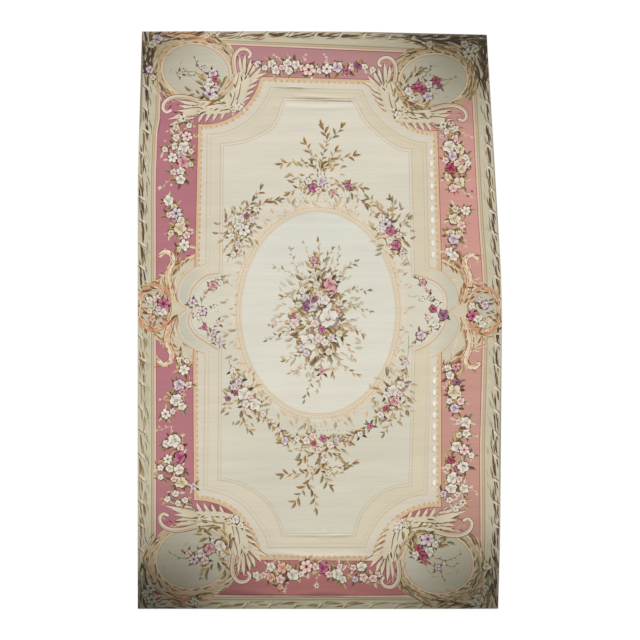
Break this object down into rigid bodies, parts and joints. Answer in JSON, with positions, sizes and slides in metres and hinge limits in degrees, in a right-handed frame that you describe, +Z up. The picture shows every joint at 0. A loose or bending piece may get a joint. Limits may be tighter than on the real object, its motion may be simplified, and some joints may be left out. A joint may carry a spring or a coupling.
{
  "type": "aubusson rug",
  "caption": "Large flat-woven tapestry rug lying face up, one thin sheet with bowed long edges and low ripples near both ends.",
  "frame": {"origin": "middle of the underside, on the floor that the rug lies on", "axes": "+Z up out of the face, +Y along the rug towards its far end, +X to the right across it"},
  "size_m": [3.5891, 5.67, 0.0167],
  "materials": {
    "tapestry_weave": "matte ribbed wool tapestry weave, faded cream field and rose border with woven flowers"
  },
  "bodies": {
    "root": {"rug": "tapestry_weave"}
  },
  "joints": []
}
